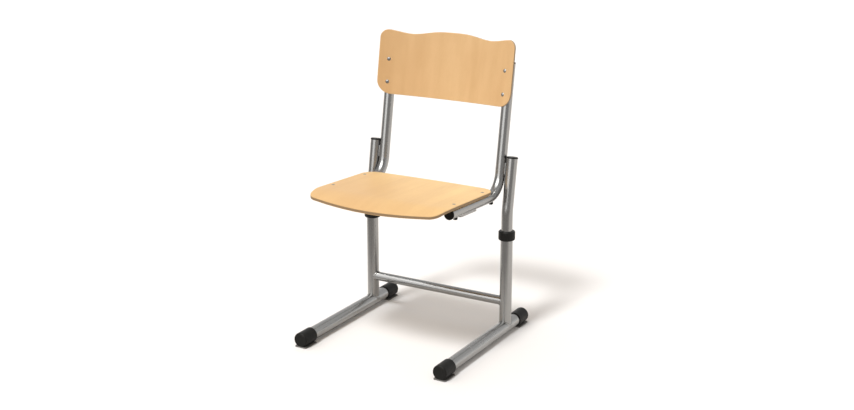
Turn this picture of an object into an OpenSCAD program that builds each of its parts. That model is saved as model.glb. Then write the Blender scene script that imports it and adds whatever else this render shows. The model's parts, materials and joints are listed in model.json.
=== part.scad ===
// Height-adjustable school chair on two runner feet.
// Round steel tube, beech plywood seat and backrest, black plastic fittings.
// The origin lies on the floor under the middle of the chair, +X is the sitter's left,
// the sitter faces -Y and +Z is up. All sizes are in millimetres.

/* [Feet] */
// From a post's centre line to the front tip of its foot
foot_front_reach = 364; // [300:1:440]
// From a post's centre line to the rear tip of its foot
foot_rear_reach = 106; // [85:1:160]
// Outer diameter of the foot tube
foot_tube_d = 35; // [34:0.5:40]
// Wall of the foot tube
foot_wall = 1.5; // [1:0.1:2.5]
// Wall of the plastic foot cap around the tube
cap_wall = 2.5; // [1.5:0.1:4]
// Length of a foot cap
cap_len = 51; // [35:1:65]
// Thickness of the closed end of a foot cap
cap_end = 3.5; // [2:0.5:6]
// Rounding of the closed end of a foot cap
cap_round = 4; // [1:0.5:6]
// Width of the flat sole under a foot cap
sole_w = 36; // [26:1:38]
// Thickness of the flat sole
sole_t = 3; // [2:0.5:5]
// How far the sole stands below the round of the cap
sole_drop = 1; // [0.5:0.5:2]

/* [Posts] */
// Outer diameter of the sliding upper post
upper_post_d = 30; // [28:0.5:32]
// Wall of the upper post
upper_post_wall = 1.5; // [1:0.1:2.5]
// Wall of the lower post
lower_post_wall = 1.2; // [1:0.1:2]
// Radial running clearance between the upper post and what it slides in
slide_clearance = 0.08; // [0.02:0.01:0.1]
// Height of the lower post's top edge above the floor
lower_post_top = 289; // [270:1:300]
// Height of the upper post's lower end above the floor
upper_post_bottom = 140; // [110:1:170]
// Height where the upper post starts to lean back
post_bend_height = 345.5; // [345:0.5:365]
// Centre-line radius of the bend in the upper post
post_bend_radius = 120; // [60:5:120]
// Length of the leaning part of the upper post, from the bend's corner to its top
post_lean_len = 143; // [135:1:170]
// How far the back tubes and the upper posts lean back, in degrees
lean = 9.5; // [6:0.5:10]
// Step between the height settings, one up and one down from the drawn one
height_step = 40; // [30:1:40]
// Outer diameter of the crossbar between the lower posts
crossbar_d = 25; // [20:0.5:28]
// Wall of the crossbar
crossbar_wall = 1.2; // [1:0.1:2]
// Height of the crossbar's centre line above the floor
crossbar_height = 93; // [75:1:200]

/* [Collars and locks] */
// Outer diameter of the plastic collar on the lower post
collar_d = 45; // [44:0.5:50]
// Height of the collar
collar_h = 24.5; // [23:0.5:32]
// How far the collar stands above the lower post's top edge
collar_lip = 4; // [3:0.5:5]
// Rounding of the collar's outer edges
collar_round = 3.5; // [1:0.5:4]
// Diameter of the locking set screw
lock_d = 6; // [5:0.5:6]
// Width across the flats of the locking nut
lock_nut_af = 10; // [9:0.5:10.5]
// Thickness of the locking nut
lock_nut_t = 3.2; // [2.5:0.1:3.4]
// Width across the flats of the key socket in the set screw
lock_key_af = 3; // [2.5:0.5:3.5]
// Depth of the key socket
lock_key_depth = 3; // [2:0.5:4]
// How far the backed-off screw tip stops short of the upper post
lock_backoff = 0.3; // [0.2:0.1:0.5]

/* [Side frames] */
// Outer diameter of the side frame tube
side_tube_d = 28; // [25:0.5:30]
// Wall of the side frame tube
side_wall = 1.5; // [1:0.1:2.5]
// Gap between the side frame and the upper post, filled by the weld beads
weld_gap = 1.5; // [0.5:0.1:2]
// From the seat's side edge in to the centre line of the rail under it
rail_inset = 16; // [12:0.5:30]
// From the backrest's side edge in to the centre line of the tube behind it
back_tube_inset = 23.5; // [20:0.5:40]
// Height where the centre lines of the rail and the back tube would meet
corner_height = 389; // [380:1:400]
// How far the rails fall towards the back, in degrees
rail_fall = 2.8; // [0:0.1:4]
// Centre-line radius of the bend between the rail and the back tube
side_bend_radius = 62; // [50:1:64]
// Length of the rail tube under the seat, from the middle of the seat's rear edge forward
rail_len = 225.4; // [217.4:0.2:277.4]
// Length of the back tube, from the corner of the centre lines to its top end
back_tube_len = 346; // [340:1:400]

/* [Seat] */
// Width of the seat
seat_w = 394; // [384:1:440]
// Length of the seat along its middle, from its rear edge to its front edge
seat_len = 328.5; // [320:1:380]
// From the start of the tube's bend forward to the edge of the seat above it
seat_bend_gap = 1; // [0.5:0.5:8]
// Thickness of the plywood
ply_t = 8; // [7:0.5:10]
// Radius of the bow of the front edge, seen from above
seat_front_radius = 800; // [700:10:1500]
// Radius of the bow of the rear edge, seen from above
seat_rear_radius = 3200; // [2000:50:5000]
// Corner radius at the front of the seat
seat_front_corner = 30; // [15:1:48]
// Corner radius at the rear of the seat
seat_rear_corner = 38; // [34:1:50]
// How much the sides draw in towards the front corners
seat_taper_in = 8.5; // [3:0.5:20]
// Length over which the sides draw in
seat_taper_len = 70; // [70:1:110]
// Radius of the roll-down at the front of the seat, on its underside
seat_roll_radius = 220; // [220:10:900]
// From the front rivets forward to the start of the roll-down
seat_roll_start = 38.5; // [12:1:44]
// From the middle of the seat's rear edge forward to the line of the rear rivets
seat_rivet_inset = 50; // [45:1:60]
// Distance between the front and rear seat rivets
seat_rivet_pitch = 153; // [130:1:160]
// Diameter of the flush head of a seat rivet
seat_rivet_head_d = 9.5; // [8:0.5:11]
// Height of the flush head of a seat rivet
seat_rivet_head_h = 1.6; // [1.2:0.1:2]

/* [Backrest] */
// Width of the backrest, measured straight across
back_w = 409; // [395:1:440]
// Inner radius of the backrest's curve
back_radius = 560; // [450:10:900]
// From the corner of the centre lines up to the middle of the backrest rivets
back_centre = 295; // [285:1:310]
// Height of the middle of the top edge above the middle of the rivets
back_top = 116.5; // [100:1:125]
// Depth of the bottom edge below the middle of the rivets
back_bottom = 64; // [55:1:75]
// Corner radius at the bottom of the backrest
back_low_corner = 38; // [20:1:45]
// Corner radius at the top of the backrest
back_high_corner = 22; // [15:1:28]
// Distance from the middle of the top edge to each dip
back_dip_place = 118; // [105:1:125]
// How deep the dips lie below the middle hump
back_dip_depth = 11; // [4:0.2:16]
// How much the humps are broadened between the dips
back_hump_fullness = 1.2; // [0:0.1:2]
// How far the top edge falls from its middle to its ends, under the wave
back_side_fall = 3.5; // [0:0.5:8]
// Distance between the upper and lower backrest rivets
back_rivet_pitch = 62; // [50:1:70]
// How far the backrest rivets sit outside the line where the ply touches the tube
back_rivet_out = 3; // [0:0.5:4]
// Diameter of the domed head of a backrest rivet
back_rivet_head_d = 10.5; // [9:0.5:13]
// Height of the domed head of a backrest rivet
back_rivet_head_h = 2.6; // [2:0.1:3.5]

/* [Rivets] */
// Diameter of a rivet's shank
rivet_d = 5; // [4:0.2:6]
// Diameter of the mandrel left in a rivet
mandrel_d = 2.6; // [2:0.1:2.8]
// Diameter of the bulged tail of a rivet
rivet_tail_d = 7.6; // [7:0.1:9]
// Length of the bulged tail of a rivet
rivet_tail_len = 5; // [4:0.5:7]

/* [Under the seat] */
// Depth of the cross plate, front to rear
plate_len = 93; // [60:1:110]
// From the corner of the centre lines forward to the middle of the cross plate
plate_centre = 169; // [150:1:170]
// Thickness of the cross plate
plate_t = 3; // [2:0.5:4]
// How far the cross plate reaches past the rails' centre lines
plate_reach = 4; // [4:1:12]
// Corner radius of the cross plate
plate_corner = 12; // [5:1:20]
// Height of the turned-down edges of the cross plate, its thickness included
plate_lip_h = 5; // [5:0.5:13]
// Diameter of a rubber buffer under the rail
buffer_d = 12; // [8:0.5:13]
// How far a rubber buffer stands below the rail
buffer_h = 6; // [4:0.5:9]
// Diameter of a rubber buffer's stem
buffer_stem_d = 6; // [4:0.5:7]
// From the corner of the centre lines forward to the rear buffers
buffer_rear = 43; // [42:1:60]
// From the corner of the centre lines forward to the front buffers
buffer_front = 237; // [228:1:246]

/* [Plugs and welds] */
// Thickness of the head of a tube plug
plug_head_t = 4; // [1.5:0.5:5]
// How far a tube plug reaches into its tube
plug_depth = 14; // [8:1:16]
// How far the head of an upper post's cap overhangs the tube
post_cap_overhang = 0.7; // [0:0.1:1]
// Length of the guide plug's flange below the upper post
guide_flange = 4; // [3:0.5:8]
// Leg of the fillet welds
weld_leg = 2; // [1.5:0.1:3]
// Radius of the weld beads along the side frames
bead_r = 2; // [1.6:0.1:3]
// Length of those weld beads
bead_len = 30; // [15:1:34]

/* [Hidden] */
$fn = 96;
// Facets of the largest rounds and of the thin welds
fine_facets = 192;

// Colours of the finishes
steel_colour = [0.70, 0.70, 0.68];
zinc_colour = [0.80, 0.81, 0.82];
black_colour = [0.10, 0.10, 0.09];
beech_colour = [0.93, 0.74, 0.52];

// Overrun of every cut past the face that it leaves
over = 1;
// Step that worked-out places are rounded to
hundredth = 0.01;
// A tube comes out of its bend a trace thinner, by this much in radius
bend_step = 0.02;
// Length of the bend's end that already has the thinner size inside it
bend_lap = 0.5;
// Small forms, as shares of the sizes that they belong to
plug_chamfer_share = 0.4;
nut_wall_share = 0.4;
bead_sink_share = 0.5;
// Steps of a rounded corner and of the backrest's wave
steps_per_corner = 10;
wave_steps = 36;

// Gap between pieces that are pressed or screwed together
fit_gap = 0.05;
// Gap around a rivet's shank and around the locking screw in its clearance holes
hole_gap = 0.1;

// A whole turn and a half one, in degrees
full_turn = 360;
half_turn = 180;

// Places and sizes that follow from the values above

// The side frames stand as far apart as both the seat and the backrest allow, and the posts
// and feet stand beside them
side_x = min(seat_w / 2 - rail_inset, back_w / 2 - back_tube_inset);
post_x = side_x + (upper_post_d + side_tube_d) / 2 + weld_gap;
cap_d = foot_tube_d + 2 * cap_wall;
foot_axis_z = cap_d / 2 + sole_drop;
lower_post_bore = upper_post_d + 2 * slide_clearance;
lower_post_d = lower_post_bore + 2 * lower_post_wall;
collar_bottom = lower_post_top + collar_lip - collar_h;
lock_z = lower_post_top - (collar_h - collar_lip) / 2;
lock_tip_y = upper_post_d / 2 + lock_backoff;
lock_end_y = collar_d / 2 - fit_gap;
lock_hole_d = lock_d + 4 * hole_gap;
lock_nut_corners = lock_nut_af / cos(30);
nut_pocket_y = (lower_post_d + (collar_d - lower_post_d - 2 * lock_nut_t) * nut_wall_share) / 2;
rail_r = side_tube_d / 2;
corner_y = round_off((corner_height - post_bend_height) * tan(lean));
turn = 90 - lean + rail_fall;
bend_used = round_off(side_bend_radius * tan(turn / 2));
post_bend_used = round_off(post_bend_radius * tan(lean / 2));
seat_edge_in = max(0, seat_rear_corner - (seat_w / 2 - side_x));
seat_rear_side = bend_used + seat_bend_gap - seat_rear_corner
    + sqrt(pow(seat_rear_corner, 2) - pow(seat_edge_in, 2));
rear_slope = (seat_w / 2 - seat_rear_corner) / seat_rear_radius;
rear_apex = seat_rear_side - rear_slope * seat_w / 2;
seat_rear = rear_apex + bow_rise(seat_rear_radius, rear_slope);
seat_front = seat_rear + seat_len;
rail_front = round_off(seat_rear + rail_len);
seat_rivet_rear = seat_rear + seat_rivet_inset;
seat_front_half = seat_w / 2 - seat_taper_in;
front_slope = (seat_front_half - seat_front_corner) / seat_front_radius;
front_apex = seat_front + bow_rise(seat_front_radius, front_slope);
roll_start = seat_rivet_rear + seat_rivet_pitch + seat_roll_start;
roll_fall = seat_roll_radius - sqrt(pow(seat_roll_radius, 2) - pow(seat_front - roll_start, 2));
seat_front_reach = seat_front * cos(rail_fall) - corner_y - (rail_r - roll_fall) * sin(rail_fall);
// The posts stand this far behind the origin, which is under the middle of the length
post_y = round_off((max(seat_front_reach, foot_front_reach) - foot_rear_reach) / 2);
curve_centre = sqrt(pow(back_radius + ply_t + rail_r, 2) - pow(side_x, 2));
rivet_angle = asin((side_x + back_rivet_out) / (back_radius + ply_t + rail_r));
plug_bore_d = side_tube_d - 2 * side_wall;
// The flat underside of a domed head bears with its rim on the hollow face of the backrest, and
// clears that face by this much at the rivet
head_lift = hundredth + back_radius
    - sqrt(pow(back_radius, 2) - pow(back_rivet_head_d / 2, 2));
// Length rounded to a hundredth, so that faces that meet are at the very same place
function round_off(length) = round(length / hundredth) * hundredth;

// How far a corner between two lines of this slope stands out past the arc that rounds it
function bow_rise(radius, slope) = radius * (sqrt(1 + pow(slope, 2)) - 1);

// Unit vector along v
function unit(v) = v / norm(v);

// Arc of radius r that rounds the corner b between a and c
function corner_arc(a, b, c, r) =
    let (
        u = unit(a - b),
        v = unit(c - b),
        half = acos(u * v) / 2,
        centre = b + unit(u + v) * r / sin(half),
        first = b + u * r / tan(half) - centre,
        last = b + v * r / tan(half) - centre,
        start = atan2(first.y, first.x),
        ahead = atan2(last.y, last.x) - start + full_turn + half_turn,
        sweep = ahead % full_turn - half_turn
    )
    [for (i = [0 : steps_per_corner])
        centre + r * [cos(start + sweep * i / steps_per_corner),
            sin(start + sweep * i / steps_per_corner)]];

// Outline with every corner of the polygon rounded to its own radius
function rounded_outline(corners, radii) =
    let (n = len(corners))
    [for (i = [0 : n - 1])
        each corner_arc(corners[(i + n - 1) % n], corners[i], corners[(i + 1) % n], radii[i])];

// Height of the backrest's top edge above the rivets' middle, x from the centre
function back_wave(x) =
    let (turns = half_turn * x / back_dip_place)
    back_top - back_side_fall * pow(2 * x / back_w, 2)
        - back_dip_depth / 2 * (1 - cos(turns)) + back_hump_fullness * (1 - cos(2 * turns));

// Slope of that edge
function back_wave_slope(x) = (back_wave(x + over) - back_wave(x - over)) / (2 * over);

// Frames of reference

// The post's own frame: origin on the floor, on the centre line of the right or left post
module post_frame(side) {
    translate([side * post_x, post_y, 0]) children();
}

// The leaning part of the upper post: +Z runs up along its centre line
module lean_frame(side) {
    translate([side * post_x, post_y, post_bend_height]) rotate([-lean, 0, 0]) children();
}

// The back tubes' frame: origin between them at the corner, +Z up along them
module back_frame() {
    translate([0, post_y + corner_y, corner_height]) rotate([-lean, 0, 0]) children();
}

// The rails' frame: origin between them at the corner, +Y to the rear, falling with the rails
module rail_frame() {
    translate([0, post_y + corner_y, corner_height]) rotate([-rail_fall, 0, 0]) children();
}

// Seat rivet places in the rails' frame
module at_seat_rivets() {
    for (side = [-1, 1], row = [0, 1])
        translate([side * side_x, -seat_rivet_rear - row * seat_rivet_pitch, 0]) children();
}

// Backrest rivet places: +Z points from the curve's axis through the ply into the tube
module at_back_rivets() {
    for (side = [-1, 1], row = [-1, 1])
        translate([0, -curve_centre, back_centre + row * back_rivet_pitch / 2])
            rotate([0, 0, -side * rivet_angle])
                translate([0, back_radius, 0]) rotate([-90, 0, 0]) children();
}

// Bar along +Z from z = 0, a bend towards +Y, and a second straight length; extra runs past both ends
module bent_bar(d, first, radius, angle, second, extra) {
    translate([0, 0, -extra]) cylinder(d = d, h = first + extra);
    translate([0, radius, first]) {
        rotate([0, -90, 0]) rotate([0, 0, -90])
            rotate_extrude(angle = angle) translate([radius, 0]) circle(d = d);
        rotate([-angle, 0, 0]) translate([0, -radius, -bend_lap])
            cylinder(d = d - 2 * bend_step, h = second + extra + bend_lap);
    }
}

// Feet

// Cylinder along +Y from y = start
module along_y(d, start, length) {
    translate([0, start, 0]) rotate([-90, 0, 0]) cylinder(d = d, h = length);
}

// The foot tube's centre line, from the tip of one cap to the tip of the other
module foot_frame(side) {
    translate([side * post_x, post_y, foot_axis_z]) children();
}

module foot_tube(side) {
    length = foot_front_reach + foot_rear_reach - 2 * cap_end;
    color(steel_colour)
        foot_frame(side)
            difference() {
                along_y(foot_tube_d, cap_end - foot_front_reach, length);
                along_y(foot_tube_d - 2 * foot_wall, cap_end - foot_front_reach - over,
                    length + 2 * over);
            }
}

// Cap with its closed end at y = 0 and its mouth at y = cap_len
module foot_cap_body() {
    difference() {
        union() {
            rotate([-90, 0, 0]) rotate_extrude() cap_profile();
            sole();
        }
        along_y(foot_tube_d + 2 * fit_gap, cap_end, cap_len);
    }
}

// Half section of the cap's outside
module cap_profile() {
    flat_r = cap_d / 2 - cap_round;
    square([flat_r, cap_len]);
    translate([0, cap_round]) square([cap_d / 2, cap_len - cap_round]);
    translate([flat_r, cap_round]) circle(r = cap_round);
}

// Flat sole that the cap stands on, rounded at its outer corners
module sole() {
    translate([-sole_w / 2, 0, -foot_axis_z])
        linear_extrude(sole_t)
            polygon(rounded_outline(
                [[0, 0], [sole_w, 0], [sole_w, cap_len], [0, cap_len]],
                [cap_round, cap_round, sole_t / 2, sole_t / 2]));
}

module front_foot_cap(side) {
    color(black_colour)
        foot_frame(side) translate([0, -foot_front_reach, 0]) foot_cap_body();
}

module rear_foot_cap(side) {
    color(black_colour)
        foot_frame(side) translate([0, foot_rear_reach, 0]) rotate([0, 0, 180]) foot_cap_body();
}

// Posts and crossbar

// Solid round bar along the lower post, from the foot's centre line up
module lower_post_bar(d, top) {
    translate([0, 0, foot_axis_z]) cylinder(d = d, h = top - foot_axis_z);
}

module lower_post(side) {
    color(steel_colour)
        post_frame(side)
            difference() {
                lower_post_bar(lower_post_d, lower_post_top);
                translate([0, 0, -over])
                    cylinder(d = lower_post_bore, h = lower_post_top + 2 * over);
                translate([0, 0, foot_axis_z])
                    along_y(foot_tube_d, -foot_tube_d, 2 * foot_tube_d);
                lock_hole(lower_post_d / 2 + over);
            }
}

// Clearance hole for the locking screw, from the post's middle out to y = reach
module lock_hole(reach) {
    translate([0, 0, lock_z]) along_y(lock_hole_d, 0, reach);
}

module crossbar() {
    color(steel_colour)
        difference() {
            crossbar_bar(crossbar_d, 2 * post_x);
            crossbar_bar(crossbar_d - 2 * crossbar_wall, 2 * post_x + 2 * over);
            for (side = [-1, 1]) post_frame(side) lower_post_bar(lower_post_d, lower_post_top);
        }
}

// Round bar along the crossbar's centre line
module crossbar_bar(d, length) {
    translate([-length / 2, post_y, crossbar_height])
        rotate([0, 90, 0]) cylinder(d = d, h = length);
}

// Fillet weld where each lower post stands on its foot
module foot_welds() {
    $fn = fine_facets;
    color(steel_colour)
        for (side = [-1, 1])
            difference() {
                intersection() {
                    post_frame(side) lower_post_bar(lower_post_d + 2 * weld_leg, 2 * cap_d);
                    foot_frame(side)
                        along_y(foot_tube_d + 2 * weld_leg, -cap_d, 2 * cap_d);
                }
                post_frame(side) lower_post_bar(lower_post_d, lower_post_top);
                foot_frame(side) along_y(foot_tube_d, -cap_d - over, 2 * cap_d + 2 * over);
            }
}

// Fillet weld round each end of the crossbar
module crossbar_welds() {
    $fn = fine_facets;
    color(steel_colour)
        for (side = [-1, 1])
            difference() {
                intersection() {
                    post_frame(side)
                        lower_post_bar(lower_post_d + 2 * weld_leg, lower_post_top);
                    crossbar_bar(crossbar_d + 2 * weld_leg, 2 * post_x);
                }
                post_frame(side) lower_post_bar(lower_post_d, lower_post_top);
                crossbar_bar(crossbar_d, 2 * post_x);
                translate([side * (post_x + lower_post_d), post_y, crossbar_height])
                    cube(2 * lower_post_d, center = true);
            }
}

// Collars and locks

// Ring section of the collar: wide on the lower post, narrow on the upper post
module collar_profile() {
    difference() {
        union() {
            translate([0, collar_round]) square([collar_d / 2, collar_h - 2 * collar_round]);
            square([collar_d / 2 - collar_round, collar_h]);
            for (z = [collar_round, collar_h - collar_round])
                translate([collar_d / 2 - collar_round, z]) circle(r = collar_round);
        }
        translate([-over, -over]) square([lower_post_bore / 2 + over, collar_h + 2 * over]);
        translate([-over, -over])
            square([lower_post_d / 2 + fit_gap + over, collar_h - collar_lip + over]);
    }
}

module collar(side) {
    color(black_colour)
        post_frame(side)
            difference() {
                translate([0, 0, collar_bottom]) rotate_extrude() collar_profile();
                lock_hole(collar_d);
                nut_pocket();
            }
}

// Slot that the nut is pushed into from under the collar
module nut_pocket() {
    width = lock_nut_af + 2 * hole_gap;
    translate([-width / 2, nut_pocket_y, collar_bottom - over])
        cube([width, lock_nut_t + 2 * hole_gap,
            lock_z + lock_nut_corners / 2 + hole_gap - collar_bottom + over]);
}

module lock_nut(side) {
    color(zinc_colour)
        post_frame(side)
            translate([0, 0, lock_z])
                difference() {
                    translate([0, nut_pocket_y + hole_gap, 0])
                        rotate([-90, 0, 0]) rotate([0, 0, 30])
                            cylinder(d = lock_nut_corners, h = lock_nut_t, $fn = 6);
                    along_y(lock_d + 2 * fit_gap, 0, collar_d);
                }
}

module lock_screw(side) {
    color(zinc_colour)
        post_frame(side)
            translate([0, 0, lock_z])
                difference() {
                    along_y(lock_d, lock_tip_y, lock_end_y - lock_tip_y);
                    translate([0, lock_end_y + over, 0]) rotate([90, 0, 0])
                        cylinder(d = lock_key_af / cos(30), h = lock_key_depth + over, $fn = 6);
                }
}

// Upper post: straight, then a bend, then the leaning part
module upper_post_bar(d, extra) {
    translate([0, 0, upper_post_bottom])
        bent_bar(d, post_bend_height - post_bend_used - upper_post_bottom, post_bend_radius, lean,
            post_lean_len - post_bend_used, extra);
}

module upper_post(side) {
    color(steel_colour)
        post_frame(side)
            difference() {
                upper_post_bar(upper_post_d, 0);
                upper_post_bar(upper_post_d - 2 * upper_post_wall, over);
                for (step = [-1, 0, 1])
                    translate([0, 0, step * height_step]) lock_hole(upper_post_d);
            }
}

// Plug for a tube end: spigot below z = 0, head above it
module tube_plug(bore_d, head_d) {
    chamfer = plug_head_t * plug_chamfer_share;
    spigot_r = bore_d / 2 - fit_gap;
    rotate_extrude()
        polygon([[0, -plug_depth], [spigot_r, -plug_depth], [spigot_r, 0], [head_d / 2, 0],
            [head_d / 2, plug_head_t - chamfer], [head_d / 2 - chamfer, plug_head_t],
            [0, plug_head_t]]);
}

module post_cap(side) {
    color(black_colour)
        lean_frame(side)
            translate([0, 0, post_lean_len])
                tube_plug(upper_post_d - 2 * upper_post_wall,
                    upper_post_d + 2 * post_cap_overhang);
}

// Guide at the lower end of the upper post: it keeps the post central in the lower one
module post_guide(side) {
    bore_d = upper_post_d - 2 * upper_post_wall;
    color(black_colour)
        post_frame(side)
            translate([0, 0, upper_post_bottom - guide_flange])
                difference() {
                    union() {
                        cylinder(d = upper_post_d, h = guide_flange);
                        cylinder(d = bore_d - 2 * fit_gap, h = guide_flange + plug_depth);
                    }
                    translate([0, 0, guide_flange])
                        cylinder(d = bore_d - guide_flange, h = plug_depth + over);
                }
}

// Side frames

// Rail, bend and back tube along one centre line
module side_frame_bar(d, extra) {
    rail_frame() translate([0, -rail_front, 0])
        rotate([-90, 0, 0]) rotate([0, 0, 180])
            bent_bar(d, rail_front - bend_used, side_bend_radius, turn,
                back_tube_len - bend_used, extra);
}

module side_frame(side) {
    color(steel_colour)
        difference() {
            translate([side * side_x, 0, 0])
                difference() {
                    side_frame_bar(side_tube_d, 0);
                    side_frame_bar(side_tube_d - 2 * side_wall, over);
                }
            rail_frame() at_seat_rivets() cylinder(d = rivet_d + 2 * hole_gap, h = side_tube_d);
            back_frame() at_back_rivets()
                cylinder(d = rivet_d + 2 * hole_gap, h = ply_t + rail_r);
            rail_frame() at_buffers()
                translate([0, 0, -side_tube_d]) cylinder(d = buffer_stem_d, h = side_tube_d);
        }
}

// Beads in the grooves in front of and behind the line where post and side frame run together
module side_frame_welds() {
    groove_x = side_x + rail_r + weld_gap / 2;
    color(steel_colour)
        difference() {
            back_frame()
                for (side = [-1, 1], face = [-1, 1])
                    translate([side * groove_x, face * 2 * bead_r, bend_used])
                        cylinder(r = bead_r, h = bead_len, $fn = 32);
            for (side = [-1, 1]) {
                translate([side * side_x, 0, 0]) side_frame_bar(side_tube_d, 0);
                post_frame(side) upper_post_bar(upper_post_d, 0);
            }
        }
}

module rail_plug(side) {
    color(black_colour)
        rail_frame()
            translate([side * side_x, -rail_front, 0])
                rotate([90, 0, 0]) tube_plug(plug_bore_d, side_tube_d);
}

module back_plug(side) {
    color(black_colour)
        back_frame()
            translate([side * side_x, 0, back_tube_len]) tube_plug(plug_bore_d, side_tube_d);
}

// Under the seat

module cross_plate() {
    color(steel_colour)
        rail_frame()
            translate([0, -plate_centre, -rail_r]) {
                translate([0, 0, -plate_t]) linear_extrude(plate_t) plate_shape(0);
                translate([0, 0, -plate_lip_h])
                    linear_extrude(plate_lip_h)
                        difference() {
                            plate_shape(0);
                            plate_shape(plate_t);
                        }
            }
}

// Outline of the cross plate, drawn in by a distance
module plate_shape(inwards) {
    half_w = side_x + plate_reach - inwards;
    half_l = plate_len / 2 - inwards;
    corner = plate_corner - inwards;
    polygon(rounded_outline(
        [[-half_w, -half_l], [half_w, -half_l], [half_w, half_l], [-half_w, half_l]],
        [corner, corner, corner, corner]));
}

// Fillets along the inner side of each rail where it lies on the plate
module cross_plate_welds() {
    beside = sqrt(pow(rail_r + bead_r * bead_sink_share, 2) - pow(rail_r, 2));
    color(steel_colour)
        difference() {
            rail_frame()
                for (side = [-1, 1], place = [-1, 1])
                    translate([side * (side_x - beside),
                        -plate_centre + place * plate_len / 4 - bead_len / 2, -rail_r])
                        rotate([-90, 0, 0]) cylinder(r = bead_r, h = bead_len, $fn = 32);
            rail_frame()
                translate([0, -plate_centre, -rail_r - bead_r])
                    cube([2 * post_x, plate_len, 2 * bead_r], center = true);
            for (side = [-1, 1])
                translate([side * side_x, 0, 0]) side_frame_bar(side_tube_d, 0);
        }
}

// Buffer places in the rails' frame
module at_buffers() {
    for (side = [-1, 1], place = [buffer_rear, buffer_front])
        translate([side * side_x, -place, 0]) children();
}

// Rubber buttons pressed into the underside of the rails; the rear ones sit where the bend starts
module rail_buffers() {
    edge = buffer_h / 4;
    stem_r = buffer_stem_d / 2 - fit_gap;
    stem_top = 2 * side_wall;
    color(black_colour)
        difference() {
            rail_frame() at_buffers() translate([0, 0, -rail_r]) rotate_extrude() {
                polygon([[0, -buffer_h], [buffer_d / 2 - edge, -buffer_h],
                    [buffer_d / 2, edge - buffer_h], [buffer_d / 2, 2 * edge], [0, 2 * edge]]);
            }
            for (side = [-1, 1])
                translate([side * side_x, 0, 0]) side_frame_bar(side_tube_d, 0);
        }
    color(black_colour)
        rail_frame() at_buffers()
            translate([0, 0, -rail_r - edge]) cylinder(r = stem_r, h = stem_top + 2 * edge);
}

// Seat

// Corners of the seat's outline, looked at from above, in the rails' frame
seat_corners = [
    [seat_w / 2, -seat_rear_side],
    [0, -rear_apex],
    [-seat_w / 2, -seat_rear_side],
    [-seat_w / 2, seat_taper_len - seat_front],
    [-seat_front_half, front_slope * seat_front_half - front_apex],
    [0, -front_apex],
    [seat_front_half, front_slope * seat_front_half - front_apex],
    [seat_w / 2, seat_taper_len - seat_front]];
// Radii of those corners; the wide ones make the bows and soften the taper
seat_radii = [seat_rear_corner, seat_rear_radius, seat_rear_corner, seat_taper_len,
    seat_front_corner, seat_front_radius, seat_front_corner, seat_taper_len];

module seat() {
    color(beech_colour)
        rail_frame()
            difference() {
                intersection() {
                    seat_sheet();
                    translate([0, 0, -seat_w / 2])
                        linear_extrude(seat_w) polygon(rounded_outline(seat_corners, seat_radii));
                }
                at_seat_rivets() translate([0, 0, rail_r]) {
                    translate([0, 0, -over])
                        cylinder(d = rivet_d + 2 * hole_gap, h = ply_t + 2 * over);
                    translate([0, 0, ply_t - seat_rivet_head_h])
                        cylinder(d1 = rivet_d + 2 * hole_gap, d2 = seat_rivet_head_d,
                            h = seat_rivet_head_h);
                }
            }
}

// Flat sheet on the rails that rolls down in front of them
module seat_sheet() {
    sweep = asin((front_apex - roll_start) / seat_roll_radius);
    translate([-seat_w / 2, -roll_start, rail_r]) cube([seat_w, roll_start, ply_t]);
    translate([-seat_w / 2, -roll_start, rail_r - seat_roll_radius])
        rotate([0, 90, 0]) rotate([0, 0, 180])
            rotate_extrude(angle = sweep)
                translate([seat_roll_radius, 0]) square([ply_t, seat_w]);
}

// Blind rivet: hollow shank from z = 0 down to -grip, bulged tail below it. The child is the
// head's half section
module blind_rivet(grip) {
    tail_end = -grip - rivet_tail_len;
    rotate_extrude()
        difference() {
            union() {
                polygon([[0, 0], [rivet_d / 2, 0], [rivet_d / 2, -grip], [rivet_tail_d / 2, -grip],
                    [rivet_d / 2, tail_end], [0, tail_end]]);
                children();
            }
            translate([-over, tail_end - over])
                square([mandrel_d / 2 + fit_gap + over, grip + rivet_tail_len + side_tube_d]);
        }
}

// Mandrel that stays in the rivet, with its top at z = top; its head holds the tail open
module rivet_mandrel(grip, top) {
    tail_end = -grip - rivet_tail_len;
    head_r = (mandrel_d + rivet_d) / 4;
    rotate_extrude()
        polygon([[0, top], [mandrel_d / 2, top], [mandrel_d / 2, tail_end], [head_r, tail_end],
            [head_r, tail_end - mandrel_d / 2], [0, tail_end - mandrel_d / 2]]);
}

// Thickness that a rivet clamps, ply and tube wall, when it sits this far out from the tube's
// middle: the bulged tail bears on the inside of the tube with its edge
function rivet_grip(out) =
    ply_t + rail_r + fit_gap - sqrt(pow(rail_r - side_wall, 2) - pow(out + rivet_tail_d / 2, 2));

seat_grip = rivet_grip(0);
back_grip = rivet_grip(back_rivet_out);

module seat_rivets() {
    color(zinc_colour)
        rail_frame() at_seat_rivets() translate([0, 0, rail_r + ply_t])
            blind_rivet(seat_grip)
                polygon([[0, -seat_rivet_head_h], [rivet_d / 2, -seat_rivet_head_h],
                    [seat_rivet_head_d / 2 - fit_gap, 0], [0, 0]]);
}

module seat_rivet_mandrels() {
    color(zinc_colour)
        rail_frame() at_seat_rivets() translate([0, 0, rail_r + ply_t])
            rivet_mandrel(seat_grip, -seat_rivet_head_h / 2);
}

// Backrest

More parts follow.
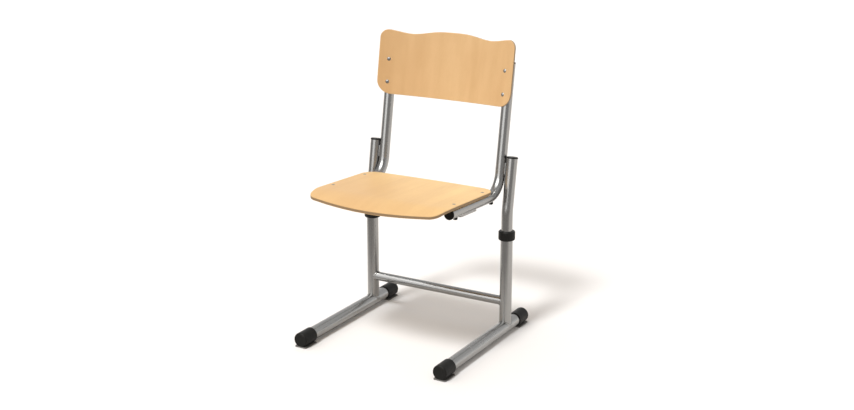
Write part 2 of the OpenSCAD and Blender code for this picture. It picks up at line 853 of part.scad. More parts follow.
// Outline of the backrest seen from the front, x across and y up from the rivets' middle
function back_outline() =
    let (
        half = back_w / 2,
        slope = back_wave_slope(half - back_high_corner),
        reach = back_high_corner / tan((90 - atan(slope)) / 2) * cos(atan(slope)),
        shoulder = [half - reach, back_wave(half - reach)],
        right_low = corner_arc([0, -back_bottom], [half, -back_bottom], [half, 0], back_low_corner),
        right_high = corner_arc([half, 0], [half, shoulder.y + slope * reach], shoulder,
            back_high_corner),
        wave = [for (i = [1 : wave_steps - 1])
            let (x = shoulder.x * (1 - 2 * i / wave_steps)) [x, back_wave(x)]],
        right = concat(right_low, right_high),
        left = [for (i = [len(right) - 1 : -1 : 0]) [-right[i].x, right[i].y]]
    )
    concat(right, wave, left);

module backrest() {
    height = back_top + back_bottom;
    color(beech_colour)
        back_frame()
            difference() {
                intersection() {
                    translate([0, -curve_centre, back_centre - height])
                        difference() {
                            cylinder(r = back_radius + ply_t, h = 2 * height, $fn = fine_facets);
                            translate([0, 0, -over])
                                cylinder(r = back_radius, h = 2 * height + 2 * over, $fn = fine_facets);
                        }
                    translate([0, rail_r + back_w / 2, back_centre])
                        rotate([90, 0, 0]) linear_extrude(back_w) polygon(back_outline());
                }
                at_back_rivets()
                    translate([0, 0, -over])
                        cylinder(d = rivet_d + 2 * hole_gap, h = ply_t + 2 * over);
            }
}

// Half section of a domed head on the z = 0 face: a slice of a ball
module dome_section(d, h) {
    ball_r = (pow(d / 2, 2) + pow(h, 2)) / (2 * h);
    intersection() {
        translate([0, h - ball_r]) circle(r = ball_r);
        square([d, h]);
    }
}

module back_rivets() {
    color(zinc_colour)
        back_frame() at_back_rivets() rotate([half_turn, 0, 0]) translate([0, 0, head_lift])
            blind_rivet(back_grip + head_lift) dome_section(back_rivet_head_d, back_rivet_head_h);
}

module back_rivet_mandrels() {
    color(zinc_colour)
        back_frame() at_back_rivets() rotate([half_turn, 0, 0]) translate([0, 0, head_lift])
            rivet_mandrel(back_grip + head_lift, back_rivet_head_h / 2);
}

// The pieces by name; the sitter's left is +X
foot_tube(1);  // left_foot_tube
foot_tube(-1);  // right_foot_tube
front_foot_cap(1);  // left_front_foot_cap
rear_foot_cap(1);  // left_rear_foot_cap
front_foot_cap(-1);  // right_front_foot_cap
rear_foot_cap(-1);  // right_rear_foot_cap
lower_post(1);  // left_lower_post
lower_post(-1);  // right_lower_post
crossbar();
foot_welds();
crossbar_welds();
collar(1);  // left_collar
collar(-1);  // right_collar
lock_screw(1);  // left_lock_screw
lock_screw(-1);  // right_lock_screw
lock_nut(1);  // left_lock_nut
lock_nut(-1);  // right_lock_nut
upper_post(1);  // left_upper_post
upper_post(-1);  // right_upper_post
post_cap(1);  // left_post_cap
post_cap(-1);  // right_post_cap
post_guide(1);  // left_post_guide
post_guide(-1);  // right_post_guide
side_frame(1);  // left_side_frame
side_frame(-1);  // right_side_frame
side_frame_welds();
rail_plug(1);  // left_rail_plug
rail_plug(-1);  // right_rail_plug
back_plug(1);  // left_back_plug
back_plug(-1);  // right_back_plug
cross_plate();
cross_plate_welds();
rail_buffers();
seat();
seat_rivets();
seat_rivet_mandrels();
backrest();
back_rivets();
back_rivet_mandrels();
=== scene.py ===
import json
import math

import bmesh
import bpy
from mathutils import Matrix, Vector
from mathutils.bvhtree import BVHTree


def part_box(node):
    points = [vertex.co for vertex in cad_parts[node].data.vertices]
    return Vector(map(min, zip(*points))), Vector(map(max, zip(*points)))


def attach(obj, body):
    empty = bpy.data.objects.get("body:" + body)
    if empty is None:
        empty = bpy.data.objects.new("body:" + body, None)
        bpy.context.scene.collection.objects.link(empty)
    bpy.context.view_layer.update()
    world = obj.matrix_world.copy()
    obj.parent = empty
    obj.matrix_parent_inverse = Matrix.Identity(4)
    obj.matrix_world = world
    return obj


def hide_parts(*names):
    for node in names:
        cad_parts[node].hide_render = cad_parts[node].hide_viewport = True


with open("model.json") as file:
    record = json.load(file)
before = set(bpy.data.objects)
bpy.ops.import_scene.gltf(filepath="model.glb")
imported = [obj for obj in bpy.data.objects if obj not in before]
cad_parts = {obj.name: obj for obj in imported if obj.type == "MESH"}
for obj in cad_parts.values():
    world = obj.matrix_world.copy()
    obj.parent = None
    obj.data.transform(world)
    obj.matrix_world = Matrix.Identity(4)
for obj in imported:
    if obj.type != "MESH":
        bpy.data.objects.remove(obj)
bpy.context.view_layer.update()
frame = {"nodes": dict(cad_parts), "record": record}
MM = 0.001

# Plywood of the seat and the backrest
PLY_T = 8 * MM
PLY_LAYERS = 7
FACE_EDGE_ROUND = 3.0 * MM
BACK_EDGE_ROUND = 1.6 * MM
ROUND_STEPS = 4
ROUND_PROFILE = 0.5
SEAT_FACES = (0, 0, 1)
BACKREST_FACES = (0, -1, 0.17)
# How squarely a part of the surface looks that way where it belongs to the face
FACING = 0.5
# Edges sharper than the first angle are rims, edges flatter than the second are left out
RIM_ANGLE = math.radians(40)
FLAT_ANGLE = math.radians(0.4)
# Corners this close are one, and edges this close to a rivet belong to its hole
CORNER_REACH = 0.002 * MM
RIVET_REACH = 3 * MM
# Strength of the modifier that evens out the shading of the large faces
EVEN_WEIGHT = 100


# Node trees

# Nearly all of a noise lies in this range
NOISE_RANGE = (0.3, 0.7)


def feed(tree, socket, value):
    """Links a socket to another one, or sets it to a plain value"""
    if isinstance(value, bpy.types.NodeSocket):
        tree.links.new(value, socket)
    else:
        socket.default_value = value


def add_node(tree, kind, inputs=None, **settings):
    """A node with its settings and inputs"""
    node = tree.nodes.new(kind)
    for name, value in settings.items():
        setattr(node, name, value)
    for key, value in (inputs or {}).items():
        feed(tree, node.inputs[key], value)
    return node


def calc(tree, operation, first, second=0.0, clamp=False):
    """The result of a Math node"""
    node = add_node(tree, "ShaderNodeMath", {0: first, 1: second}, operation=operation)
    node.use_clamp = clamp
    return node.outputs[0]


def plus(tree, value, extra, share, clamp=False):
    """A value plus a share of another one"""
    return calc(tree, "ADD", value, calc(tree, "MULTIPLY", extra, share), clamp)


def scaled(tree, vector, factors):
    """A vector multiplied by three factors"""
    node = add_node(tree, "ShaderNodeVectorMath", {0: vector, 1: factors}, operation="MULTIPLY")
    return node.outputs[0]


def turned(tree, place, angles):
    """A place turned by three angles"""
    return add_node(tree, "ShaderNodeMapping", {"Vector": place, "Rotation": angles}).outputs[0]


def level_of(tree, vector):
    """How high a place or a direction is"""
    return add_node(tree, "ShaderNodeSeparateXYZ", {0: vector}).outputs["Z"]


def along(tree, vector, way):
    """How far a vector goes in a direction"""
    node = add_node(tree, "ShaderNodeVectorMath", {0: vector, 1: way}, operation="DOT_PRODUCT")
    return node.outputs["Value"]


def noise(tree, vector, scale, detail=2.0, roughness=0.5):
    """The value of a Noise texture with so many features per metre"""
    inputs = {"Vector": vector, "Scale": scale, "Detail": detail, "Roughness": roughness}
    return add_node(tree, "ShaderNodeTexNoise", inputs).outputs["Fac"]


def spread(tree, value, low, high, to_low=0.0, to_high=1.0):
    """A value brought softly from one range to another"""
    inputs = {"Value": value, 1: low, 2: high, 3: to_low, 4: to_high}
    return add_node(tree, "ShaderNodeMapRange", inputs, interpolation_type="SMOOTHSTEP").outputs[0]


def spread_noise(tree, value, to_low=0.0, to_high=1.0):
    """A noise brought from its usual range to another"""
    return spread(tree, value, *NOISE_RANGE, to_low, to_high)


def mix(tree, factor, first, second):
    """A mix of two numbers"""
    return add_node(tree, "ShaderNodeMix", {0: factor, 2: first, 3: second}).outputs[0]


def blend(tree, factor, first, second):
    """A mix of two colours"""
    inputs = {0: factor, 6: first, 7: second}
    node = add_node(tree, "ShaderNodeMix", inputs, data_type="RGBA", blend_type="MIX")
    return node.outputs[2]


def towards(azimuth, elevation):
    """A direction in degrees: azimuth 0 is in front of the chair and 90 on the side of +X"""
    a, e = math.radians(azimuth), math.radians(elevation)
    return Vector((math.sin(a) * math.cos(e), -math.cos(a) * math.cos(e), math.sin(e)))


def start_group(name, inputs, outputs):
    """A shader node group with named inputs and outputs, and its two end nodes"""
    tree = bpy.data.node_groups.new(name, "ShaderNodeTree")
    for side, sockets in (("INPUT", inputs), ("OUTPUT", outputs)):
        for label, kind in sockets:
            tree.interface.new_socket(label, in_out=side, socket_type=f"NodeSocket{kind}")
    return tree, tree.nodes.new("NodeGroupInput").outputs, tree.nodes.new("NodeGroupOutput").inputs


def end_group(tree, sockets, results):
    """Links the results of a group to its outputs"""
    for label, value in results.items():
        tree.links.new(value, sockets[label])


def use_group(tree, group, inputs):
    """A placed group, as its outputs"""
    return add_node(tree, "ShaderNodeGroup", inputs, node_tree=group).outputs


# Effects that several materials share

# Layers of the beech grain: features per metre, how much they are drawn out along the grain,
# and the range of the noise that shows
LEAF = {"scale": 21.0, "drawn_out": 0.04, "shown": (0.36, 0.64)}
BANDS = {"scale": 75.0, "drawn_out": 0.05, "detail": 1.0}
CLOUDS = {"scale": 9.0, "drawn_out": 1.0}
LINES = {"scale": 700.0, "drawn_out": 0.03, "roughness": 0.6, "shown": (0.4, 0.65)}
FLECKS = {"scale": 1500.0, "drawn_out": 0.16, "detail": 1.0, "shown": (0.62, 0.70)}
# Their shares of the tone, where the leaf has 1, and what the lines do to gloss and height
BANDS_SHARE = 0.35
CLOUDS_SHARE = 0.65
LINES_SHARE = 0.08
FLECKS_SHARE = 0.12
LACQUER_ROUGHNESS = 0.42
LINES_ROUGHNESS = 0.08
LINES_HEIGHT = 0.5


def make_beech_grain():
    """Beech: broad soft bands along the grain, fine pores and the short dark flecks of its rays"""
    tree, given, out = start_group(
        "beech_grain",
        [("Along grain", "Vector"), ("Light", "Color"), ("Dark", "Color"), ("Band depth", "Float")],
        [("Color", "Color"), ("Roughness", "Float"), ("Height", "Float")],
    )

    def layer(scale, drawn_out, detail=2.0, roughness=0.5, shown=NOISE_RANGE):
        """One noise along the grain, plain and brought to what shows of it"""
        place = scaled(tree, given["Along grain"], (1, 1, drawn_out))
        plain = noise(tree, place, scale, detail, roughness)
        return plain, spread(tree, plain, *shown)

    leaf, bands, clouds, spots = (layer(**kind)[1] for kind in (LEAF, BANDS, CLOUDS, FLECKS))
    lines, dark_lines = layer(**LINES)
    wide = plus(tree, plus(tree, leaf, bands, BANDS_SHARE), clouds, CLOUDS_SHARE)
    wide = calc(tree, "DIVIDE", wide, 1.0 + BANDS_SHARE + CLOUDS_SHARE)
    tone = calc(tree, "MULTIPLY", wide, given["Band depth"])
    tone = plus(tree, tone, dark_lines, LINES_SHARE)
    tone = plus(tree, tone, spots, FLECKS_SHARE, clamp=True)
    height = calc(tree, "SUBTRACT", calc(tree, "MULTIPLY", lines, LINES_HEIGHT), spots)
    end_group(tree, out, {
        "Color": blend(tree, tone, given["Light"], given["Dark"]),
        "Roughness": plus(tree, LACQUER_ROUGHNESS, lines, LINES_ROUGHNESS),
        "Height": height,
    })
    return tree


# Noises of a drawn tube, and how far each changes tone and roughness
BROAD_STREAKS = {"scale": 160.0}
FINE_STREAKS = {"scale": 1400.0, "roughness": 0.6}
DULL_CLOUDS = {"scale": 14.0, "detail": 3.0, "roughness": 0.55}
STREAK_TONE = (-0.5, 0.5)
CLOUD_TONE = (-0.6, 0.6)
STREAK_ROUGHNESS = (0.0, 0.02)
CLOUD_ROUGHNESS = (0.0, 0.04)


def make_drawn_streaks():
    """Fine lines along a drawn tube, and slow clouds where its finish is a little duller"""
    tree, given, out = start_group(
        "drawn_streaks",
        [("Along tube", "Vector"), ("Place", "Vector")],
        [("Tone", "Float"), ("Roughness", "Float"), ("Height", "Float")],
    )
    broad = noise(tree, given["Along tube"], **BROAD_STREAKS)
    fine = noise(tree, given["Along tube"], **FINE_STREAKS)
    cloud = noise(tree, given["Place"], **DULL_CLOUDS)
    lines = [spread_noise(tree, streaks, *STREAK_TONE) for streaks in (broad, fine)]
    tone = calc(tree, "ADD", calc(tree, "ADD", *lines), spread_noise(tree, cloud, *CLOUD_TONE))
    dull = spread_noise(tree, cloud, *CLOUD_ROUGHNESS)
    rough = calc(tree, "ADD", dull, spread_noise(tree, fine, *STREAK_ROUGHNESS))
    end_group(tree, out, {"Tone": tone, "Roughness": rough, "Height": fine})
    return tree


# Noises of moulded plastic, and how far its gloss changes; dust shows in part of its noise
GRAIN_NOISE = {"detail": 2.0, "roughness": 0.6}
GLOSS_CLOUDS = {"scale": 45.0, "detail": 3.0, "roughness": 0.6}
GLOSS_CHANGE = (-0.05, 0.05)
DUST = {"scale": 380.0, "detail": 4.0, "roughness": 0.7}
DUST_SHOWN = (0.45, 0.75)


def make_moulded_grain():
    """The fine erosion of a moulded plastic face, with slow differences in its gloss"""
    tree, given, out = start_group(
        "moulded_grain",
        [("Place", "Vector"), ("Grain", "Float")],
        [("Height", "Float"), ("Gloss", "Float"), ("Dust", "Float")],
    )
    grain = noise(tree, given["Place"], given["Grain"], **GRAIN_NOISE)
    cloud = noise(tree, given["Place"], **GLOSS_CLOUDS)
    dust = noise(tree, given["Place"], **DUST)
    end_group(tree, out, {
        "Height": grain,
        "Gloss": spread_noise(tree, cloud, *GLOSS_CHANGE),
        "Dust": spread(tree, dust, *DUST_SHOWN),
    })
    return tree


# Wear of an edge: agreement of the two normals where it begins and where it is full, and the
# noise that breaks it up
WEAR_TURN = (0.995, 0.86)
WEAR_BREAKS = {"scale": 220.0, "detail": 4.0, "roughness": 0.7}
WEAR_SHOWN = (0.35, 0.6)


def make_edge_wear():
    """Where handling scuffs an edge: the rounded normal leaves the plain one there"""
    tree, given, out = start_group(
        "edge_wear",
        [("Plain normal", "Vector"), ("Rounded normal", "Vector"), ("Place", "Vector")],
        [("Mask", "Float")],
    )
    same = along(tree, given["Plain normal"], given["Rounded normal"])
    edge = spread(tree, same, *WEAR_TURN)
    broken = spread(tree, noise(tree, given["Place"], **WEAR_BREAKS), *WEAR_SHOWN)
    end_group(tree, out, {"Mask": calc(tree, "MULTIPLY", edge, broken)})
    return tree


BEECH_GRAIN = make_beech_grain()
DRAWN_STREAKS = make_drawn_streaks()
MOULDED_GRAIN = make_moulded_grain()
EDGE_WEAR = make_edge_wear()


# Materials

def start_material(name, **settings):
    """A material with its Principled shader set, its tree and its Object coordinates"""
    material = bpy.data.materials.new(name)
    material.use_nodes = True
    tree = material.node_tree
    shader = tree.nodes["Principled BSDF"]
    for label, value in settings.items():
        shader.inputs[label.replace("_", " ")].default_value = value
    place = add_node(tree, "ShaderNodeTexCoord").outputs["Object"]
    return material, tree, shader, place


def bump(tree, shader, height, distance, strength, normal=None):
    """Height felt by the light as a Bump"""
    inputs = {"Strength": strength, "Distance": distance, "Height": height}
    if normal is not None:
        inputs["Normal"] = normal
    node = add_node(tree, "ShaderNodeBump", inputs)
    tree.links.new(node.outputs[0], shader.inputs["Normal"])


LACQUER = {"Specular_IOR_Level": 0.45, "Coat_Weight": 0.04, "Coat_Roughness": 0.4}
# The dark of the beech grain, which the painted shade on the faces also uses
BEECH_DARK = (0.63, 0.370, 0.160, 1)
# Colours of the ply edge: veneers cut along and across their fibres, and the glue between them
VENEER_ALONG = (0.40, 0.270, 0.145, 1)
VENEER_ACROSS = (0.23, 0.142, 0.074, 1)
VENEER_SEAM = (0.12, 0.058, 0.024, 1)
END_FIBRES = {"scale": 900.0, "detail": 3.0, "roughness": 0.7}
END_FIBRES_BASE = 0.5
# Part of a veneer's thickness that the glue darkens, and how much
SEAM_REACH = 0.10
SEAM_SHARE = 0.6
# Where the edge begins and ends between the sheet's face, 0, and its back, 1
EDGE_BEGINS = (0.17, 0.25)
EDGE_ENDS = (0.98, 0.90)
EDGE_ROUGHER = 0.2
BEECH_BUMP = {"distance": 0.03 * MM, "strength": 0.35}


def make_beech(name, grain_way, band_depth, light, painted_shade):
    """Clear lacquered beech ply: grained faces with a painted shade that darkens them slowly in one
    direction, and edges that show the layers of veneer"""
    material, tree, shader, place = start_material(name, **LACQUER)
    grain = use_group(tree, BEECH_GRAIN, {
        "Along grain": turned(tree, place, grain_way),
        "Light": light,
        "Dark": BEECH_DARK,
        "Band depth": band_depth,
    })
    depth = add_node(tree, "ShaderNodeAttribute", attribute_name="ply_depth").outputs["Fac"]
    layer = calc(tree, "MULTIPLY", depth, float(PLY_LAYERS))
    across = calc(tree, "PINGPONG", calc(tree, "FLOOR", layer), 1.0)
    within = calc(tree, "FRACT", layer)
    seams = [spread(tree, within, start, end) for start, end in ((SEAM_REACH, 0), (1 - SEAM_REACH, 1))]
    seam = calc(tree, "ADD", *seams, clamp=True)
    ends = calc(tree, "ADD", spread_noise(tree, noise(tree, place, **END_FIBRES)), END_FIBRES_BASE)
    edge_colour = blend(tree, calc(tree, "MULTIPLY", ends, across), VENEER_ALONG, VENEER_ACROSS)
    edge_colour = blend(tree, calc(tree, "MULTIPLY", seam, SEAM_SHARE), edge_colour, VENEER_SEAM)
    inner = calc(tree, "MULTIPLY", spread(tree, depth, *EDGE_BEGINS), spread(tree, depth, *EDGE_ENDS))
    way, low, high, amount = painted_shade
    # Painted shade: the faces darken towards one side, standing in for how the light falls on them
    painted_shade_share = spread(tree, along(tree, place, way), low, high, 0.0, amount)
    face_colour = blend(tree, painted_shade_share, grain["Color"], BEECH_DARK)
    tree.links.new(blend(tree, inner, face_colour, edge_colour), shader.inputs["Base Color"])
    rough = plus(tree, grain["Roughness"], inner, EDGE_ROUGHER)
    tree.links.new(rough, shader.inputs["Roughness"])
    height = calc(tree, "SUBTRACT", grain["Height"], calc(tree, "MULTIPLY", seam, inner))
    bump(tree, shader, height, **BEECH_BUMP)
    return material


# The lines of a drawn tube are stretched along it
STRETCH = 0.012
ALONG_X = (STRETCH, 1, 1)
ALONG_Y = (1, STRETCH, 1)
ALONG_Z = (1, 1, STRETCH)
NO_STRETCH = (1, 1, 1)
BACK_LEAN = math.radians(9.5)
RAIL_FALL = math.radians(2.8)
# Heights between which a tube bends into its leaning part
POST_BEND = (0.45, 0.52)
SIDE_FRAME_BEND = (0.405, 0.445)
STREAK_SHARE = 0.015
STEEL_BUMP = {"distance": 0.01 * MM, "strength": 0.03}


def make_steel(name, colour, roughness, tube_way, tilt=0.0, bend=None):
    """Satin metal with fine lines along it; above its bend they follow the leaning part"""
    material, tree, shader, place = start_material(name, Metallic=1.0)

    def lines(lean, way):
        """The streaks of a part that leans back by an angle"""
        outputs = use_group(tree, DRAWN_STREAKS, {
            "Along tube": scaled(tree, turned(tree, place, (lean, 0, 0)), way),
            "Place": place,
        })
        return {label: outputs[label] for label in ("Tone", "Roughness", "Height")}

    results = lines(tilt, tube_way)
    if bend:
        leaning = lines(BACK_LEAN, ALONG_Z)
        share = spread(tree, level_of(tree, place), *bend)
        for label in results:
            results[label] = mix(tree, share, results[label], leaning[label])
    tone = plus(tree, 1.0, results["Tone"], STREAK_SHARE)
    tint = add_node(tree, "ShaderNodeVectorMath", {0: colour, "Scale": tone}, operation="SCALE")
    tree.links.new(tint.outputs[0], shader.inputs["Base Color"])
    rough = calc(tree, "ADD", results["Roughness"], roughness)
    tree.links.new(rough, shader.inputs["Roughness"])
    bump(tree, shader, results["Height"], **STEEL_BUMP)
    return material


PLASTIC_SPECULAR = 0.15
PLASTIC_BUMP = {"distance": 0.04 * MM, "strength": 0.5}
DUST_SHARE = 0.05
# Radius of the rounded normal that finds the edges, and its samples
WEAR_RADIUS = 1.1 * MM
WEAR_SAMPLES = 6
# The soles of the foot caps turn between these heights to a grey that is painted shadow: it stands in
# for the shaded floor beside the cap
SOLE_HEIGHT = (4.5 * MM, 2.5 * MM)
SOLE_PAINTED_SHADOW_GREY = (0.19, 0.185, 0.175, 1)


def make_plastic(name, colour, roughness, grain, scuff, sole_shadow_share=0.0):
    """Moulded black plastic: eroded grain, slow changes of gloss, paler scuffed edges, and a painted
    shadow grey low on the soles
    """
    material, tree, shader, place = start_material(name, Specular_IOR_Level=PLASTIC_SPECULAR)
    moulded = use_group(tree, MOULDED_GRAIN, {"Place": place, "Grain": grain})
    bevel = add_node(tree, "ShaderNodeBevel", {"Radius": WEAR_RADIUS}, samples=WEAR_SAMPLES)
    rounded = bevel.outputs[0]
    wear = use_group(tree, EDGE_WEAR, {
        "Plain normal": add_node(tree, "ShaderNodeNewGeometry").outputs["Normal"],
        "Rounded normal": rounded,
        "Place": place,
    })
    worn = plus(tree, wear["Mask"], moulded["Dust"], DUST_SHARE, clamp=True)
    # Painted shadow: low on the sole the colour turns to the grey of a shaded floor
    low = spread(tree, level_of(tree, place), *SOLE_HEIGHT, 0.0, sole_shadow_share)
    face_colour = blend(tree, low, blend(tree, worn, colour, scuff), SOLE_PAINTED_SHADOW_GREY)
    tree.links.new(face_colour, shader.inputs["Base Color"])
    rough = calc(tree, "ADD", moulded["Gloss"], roughness)
    tree.links.new(rough, shader.inputs["Roughness"])
    bump(tree, shader, moulded["Height"], **PLASTIC_BUMP, normal=rounded)
    return material


# Seat beech: its light colour is painted lighter than the backrest's, as painted light and sheen from
# above, and a painted shade darkens its faces towards the front left
BEECH_SEAT_PAINTED_LIGHT = make_beech(
    "beech_seat_painted_light", (math.radians(90), 0, 0), 0.35, (0.95, 0.662, 0.298, 1),
    (towards(-40, 0), -0.15, 0.20, 0.60),
)
# Backrest beech: a painted shade darkens its faces towards its left end
BEECH_BACK = make_beech(
    "beech_backrest", (0, 0, 0), 0.60, (0.775, 0.512, 0.253, 1),
    (towards(-90, 0), -0.05, 0.20, 0.40),
)
SILVER = (0.33, 0.326, 0.318)
# The foot tubes' silver is a lighter copy of the same steel: painted light for their brighter
# reflections
SILVER_FOOT_PAINTED_LIGHT = (0.365, 0.361, 0.352)
STEEL_ACROSS = make_steel("silver_steel_across", SILVER, 0.22, ALONG_X)
STEEL_FOOT_PAINTED_LIGHT = make_steel("silver_steel_foot_painted_light", SILVER_FOOT_PAINTED_LIGHT, 0.22, ALONG_Y)
STEEL_POST = make_steel("silver_steel_post", SILVER, 0.22, ALONG_Z, 0.0, POST_BEND)
STEEL_SIDE_FRAME = make_steel(
    "silver_steel_side_frame", SILVER, 0.20, ALONG_Y, RAIL_FALL, SIDE_FRAME_BEND
)
ZINC = make_steel("zinc_plated_steel", (0.50, 0.52, 0.54), 0.28, NO_STRETCH)
RIVET_METAL = make_steel("dull_aluminium", (0.28, 0.28, 0.275), 0.52, NO_STRETCH)
# The seat rivets get a darker copy of the rivet aluminium: painted shade for their darker reflections
RIVET_PAINTED_SHADE = make_steel("aluminium_painted_shade", (0.22, 0.22, 0.215), 0.30, NO_STRETCH)
RIVET_WIRE = make_steel("plain_wire", (0.05, 0.05, 0.05), 0.40, ALONG_Z)
BLACK_PLASTIC = make_plastic(
    "black_plastic", (0.0115, 0.0112, 0.0102, 1), 0.44, 1900.0, (0.070, 0.068, 0.063, 1), sole_shadow_share=0.9
)
BLACK_PLUG = make_plastic(
    "black_plug", (0.0055, 0.0053, 0.0048, 1), 0.50, 1900.0, (0.040, 0.038, 0.036, 1)
)
BLACK_RUBBER = make_plastic(
    "black_rubber", (0.012, 0.012, 0.0115, 1), 0.62, 2600.0, (0.035, 0.034, 0.032, 1)
)


# Pieces

SLOTS = {part["node"]: part["material_slot"] for part in frame["record"]["subparts"]}
BY_SLOT = {
    "silver_steel": STEEL_POST,
    "zinc_steel": ZINC,
    "rivet_metal": RIVET_METAL,
    "rivet_steel": RIVET_WIRE,
    "black_plastic": BLACK_PLASTIC,
    "black_rubber": BLACK_RUBBER,
    "beech_ply": BEECH_SEAT_PAINTED_LIGHT,
}
# Nodes with one of these words in their name look different from others with their slot
BY_WORD = {
    "foot_tube": STEEL_FOOT_PAINTED_LIGHT,
    "crossbar": STEEL_ACROSS,
    "plate": STEEL_ACROSS,
    "side_frame": STEEL_SIDE_FRAME,
    "plug": BLACK_PLUG,
}


def finish_of(node):
    """The material that a node's name and its slot in the record ask for"""
    # The seat rivets take the darker copy of the aluminium, painted shade
    if node == "seat_rivets":
        return RIVET_PAINTED_SHADE
    for word, material in BY_WORD.items():
        if word in node:
            return material
    return BY_SLOT[SLOTS[node]]


def assign(node, material):
    """Gives a CAD node its material"""
    mesh = frame["nodes"][node].data
    if mesh.materials:
        for place in range(len(mesh.materials)):
            mesh.materials[place] = material
    else:
        mesh.materials.append(material)


for node in frame["nodes"]:
    assign(node, finish_of(node))


def distance_to(surface, place):
    """How far a place is from a surface"""
    return surface.find_nearest(place)[3]


def round_rims(shape, face, rivets):
    """Eases the rims of a sheet, more at its face than at its back"""
    rims = {FACE_EDGE_ROUND: [], BACK_EDGE_ROUND: []}
    for edge in shape.edges:
        middle = (edge.verts[0].co + edge.verts[1].co) / 2
        sharp = edge.is_manifold and edge.calc_face_angle() > RIM_ANGLE
        if sharp and distance_to(rivets, middle) > RIVET_REACH:
            on_face = distance_to(face, middle) < PLY_T / 2
            rims[FACE_EDGE_ROUND if on_face else BACK_EDGE_ROUND].append(edge)
    for radius, rim in rims.items():
        bmesh.ops.bevel(
            shape, geom=[e for e in rim if e.is_valid], offset=radius, offset_type="OFFSET",
            segments=ROUND_STEPS, profile=ROUND_PROFILE, affect="EDGES", clamp_overlap=True,
        )


def veneered_sheet(name, node, rivets, face_way, material):
    """A plywood node's twin with eased edges; ply_depth runs from its face to its back"""
    shape = bmesh.new()
    shape.from_mesh(frame["nodes"][node].data)
    bmesh.ops.remove_doubles(shape, verts=shape.verts, dist=CORNER_REACH)
    facing = [f for f in shape.faces if f.normal.dot(Vector(face_way)) > FACING]
    face = BVHTree.FromPolygons(
        [v.co.copy() for v in shape.verts], [[v.index for v in f.verts] for f in facing]
    )
    fixings = frame["nodes"][rivets].data
    rivet_surface = BVHTree.FromPolygons(
        [v.co for v in fixings.vertices], [list(p.vertices) for p in fixings.polygons]
    )
    bmesh.ops.dissolve_limit(shape, angle_limit=FLAT_ANGLE, verts=shape.verts, edges=shape.edges)
    round_rims(shape, face, rivet_surface)
    for part in shape.faces:
        part.smooth = True
    mesh = bpy.data.meshes.new(name)
    shape.to_mesh(mesh)
    shape.free()
    depth = mesh.attributes.new("ply_depth", "FLOAT", "POINT")
    for vertex in mesh.vertices:
        depth.data[vertex.index].value = min(1.0, distance_to(face, vertex.co) / PLY_T)
    mesh.materials.append(material)
    sheet = bpy.data.objects.new(name, mesh)
    bpy.context.scene.collection.objects.link(sheet)
    even = sheet.modifiers.new("even_faces", "WEIGHTED_NORMAL")
    even.mode = "FACE_AREA"
    even.weight = EVEN_WEIGHT
    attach(sheet, "seat_frame")
    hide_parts(node)


veneered_sheet("seat_plywood", "seat", "seat_rivets", SEAT_FACES, BEECH_SEAT_PAINTED_LIGHT)
veneered_sheet("backrest_plywood", "backrest", "back_rivets", BACKREST_FACES, BEECH_BACK)


# Floor, light and camera

# Horizontal directions in the studio, in the degrees of towards()
DIM_SIDE = -18
DIM_FLOOR = -6
LAMP_BOX = -10
SIDE_LAMP = -80

# Key light: three suns, one above the other
KEY_AZIMUTH = -8
KEY_ELEVATION = 59.5
KEY_STEP = 3
KEY_STRENGTH = 0.65
KEY_SPREAD = 11

# Floor: half its side, its colour to the camera, and to all else from its near to its dim end, where
# painted shade darkens it
FLOOR_REACH = 40.0
FLOOR_ROUGHNESS = 0.9
FLOOR_WHITE = (0.945, 0.937, 0.928, 1)
FLOOR_NEAR = (0.94, 0.93, 0.915, 1)
FLOOR_PAINTED_DIM = (0.32, 0.316, 0.312, 1)
FLOOR_FADE = (0.25, 0.95)
# Polished pieces mirror the painted dim end from nearer by
FLOOR_MIRRORED_SHIFT = 0.4

# Light from all round that diffuse pieces feel, and its warmth
AMBIENT = 0.47
SIDE_LIGHT = 0.75
SIDE_LIGHT_FADE = (-0.2, 0.9)
WHITE = (1, 1, 1, 1)
WARM_WHITE = (1.0, 0.94, 0.885, 1)

# What polished pieces mirror: soft walls and ceiling, an upright lamp box and the key's glow
WALL_FADE = (-0.35, 0.25)
WALL_LIGHT = (1.08, 0.54)
CEILING_FADE = (0.08, 0.40)
CEILING_LIGHT = (1.0, 0.65)
BOX_LIGHT = 2.1
BOX_SIDES = (0.42, 0.32)
BOX_TOP = (0.80, 0.70)
BOX_FRONT = (0.0, 0.2)
GLOW_LIGHT = 2.6
GLOW_FADE = (0.80, 0.94)

# Camera: metres and degrees, measured from the posts
CAMERA_PLACE = (1.67765, -2.95878, 1.34114)
CAMERA_AZIMUTH = 30.05
CAMERA_ELEVATION = 16.51
CAMERA_LENS = 54.746
CAMERA_SENSOR = 36.0
CAMERA_END = 200.0


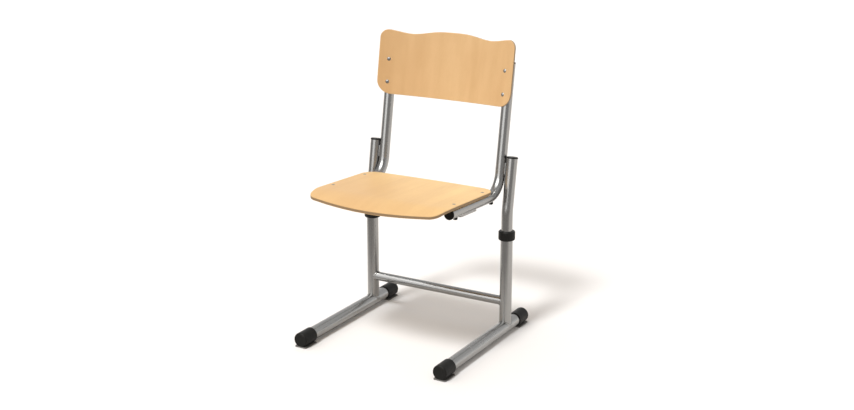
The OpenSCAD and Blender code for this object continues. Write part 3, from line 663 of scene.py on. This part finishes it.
def make_floor():
    """A plain pale floor, white to the camera; to reflections and bounce light its front is painted
    dim, as painted shade for the dim side of the studio
    """
    mesh = bpy.data.meshes.new("floor")
    reach = FLOOR_REACH
    corners = [(-reach, -reach, 0), (reach, -reach, 0), (reach, reach, 0), (-reach, reach, 0)]
    mesh.from_pydata(corners, [], [(0, 1, 2, 3)])
    floor = bpy.data.objects.new("floor", mesh)
    bpy.context.scene.collection.objects.link(floor)
    material, tree, shader, place = start_material(
        "pale_floor", Roughness=FLOOR_ROUGHNESS, Specular_IOR_Level=0.0
    )
    seen = add_node(tree, "ShaderNodeLightPath").outputs
    # Painted shade: away from the camera the floor's colour darkens towards its front
    ahead = along(tree, place, towards(DIM_FLOOR, 0))
    ahead = plus(tree, ahead, seen["Is Glossy Ray"], FLOOR_MIRRORED_SHIFT)
    painted_dim_floor = blend(tree, spread(tree, ahead, *FLOOR_FADE), FLOOR_NEAR, FLOOR_PAINTED_DIM)
    shown = blend(tree, seen["Is Camera Ray"], painted_dim_floor, FLOOR_WHITE)
    tree.links.new(shown, shader.inputs["Base Color"])
    mesh.materials.append(material)


def mirrored_light(tree, way):
    """Walls that are dimmer on one side, a ceiling, the lamp box and the glow round the key"""
    height = level_of(tree, way)
    wall = spread(tree, along(tree, way, towards(DIM_SIDE, 0)), *WALL_FADE, *WALL_LIGHT)
    soft = calc(tree, "MULTIPLY", wall, spread(tree, height, *CEILING_FADE, *CEILING_LIGHT))
    sideways = calc(tree, "ABSOLUTE", along(tree, way, towards(LAMP_BOX + 90, 0)))
    box = calc(tree, "MULTIPLY", spread(tree, sideways, *BOX_SIDES), spread(tree, height, *BOX_TOP))
    front = spread(tree, along(tree, way, towards(LAMP_BOX, 0)), *BOX_FRONT)
    box = calc(tree, "MULTIPLY", box, front)
    near_key = along(tree, way, towards(KEY_AZIMUTH, KEY_ELEVATION))
    glow = spread(tree, near_key, *GLOW_FADE, 0.0, GLOW_LIGHT)
    return calc(tree, "ADD", mix(tree, box, soft, BOX_LIGHT), glow)


def make_world():
    """Soft light from all round; polished pieces mirror a studio, the camera sees plain white"""
    world = bpy.data.worlds.new("studio")
    bpy.context.scene.world = world
    world.use_nodes = True
    tree = world.node_tree
    way = add_node(tree, "ShaderNodeTexCoord").outputs["Generated"]
    seen = add_node(tree, "ShaderNodeLightPath").outputs
    side = spread(tree, along(tree, way, towards(SIDE_LAMP, 0)), *SIDE_LIGHT_FADE, 0.0, SIDE_LIGHT)
    diffuse = calc(tree, "ADD", side, AMBIENT)
    strength = mix(tree, seen["Is Glossy Ray"], diffuse, mirrored_light(tree, way))
    straight = calc(tree, "MAXIMUM", seen["Is Camera Ray"], seen["Is Transmission Ray"])
    background = tree.nodes["Background"]
    feed(tree, background.inputs["Strength"], mix(tree, straight, strength, 1.0))
    colour = blend(tree, seen["Is Diffuse Ray"], WHITE, WARM_WHITE)
    feed(tree, background.inputs["Color"], colour)


def make_sun(name, azimuth, elevation, strength, spread_deg):
    """A soft lamp far away"""
    lamp = bpy.data.lights.new(name, "SUN")
    lamp.energy = strength
    lamp.angle = math.radians(spread_deg)
    holder = bpy.data.objects.new(name, lamp)
    bpy.context.scene.collection.objects.link(holder)
    holder.rotation_euler = towards(azimuth, elevation).to_track_quat("Z", "Y").to_euler()


def make_camera():
    """The photograph's viewpoint, fitted to the straight tubes and the feet"""
    low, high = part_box("left_lower_post")
    posts_y = (low.y + high.y) / 2
    lens = bpy.data.cameras.new("camera")
    lens.sensor_width = CAMERA_SENSOR
    lens.lens = CAMERA_LENS
    lens.clip_end = CAMERA_END
    camera = bpy.data.objects.new("camera", lens)
    bpy.context.scene.collection.objects.link(camera)
    camera.location = Vector(CAMERA_PLACE) + Vector((0, posts_y, 0))
    camera.rotation_euler = (
        math.radians(90 - CAMERA_ELEVATION), 0, math.radians(CAMERA_AZIMUTH)
    )
    bpy.context.scene.camera = camera


make_floor()
make_world()
for step in (-1, 0, 1):
    elevation = KEY_ELEVATION + KEY_STEP * step
    make_sun(f"key_light_{step + 2}", KEY_AZIMUTH, elevation, KEY_STRENGTH, KEY_SPREAD)
make_camera()
bpy.context.scene.view_settings.view_transform = "Standard"
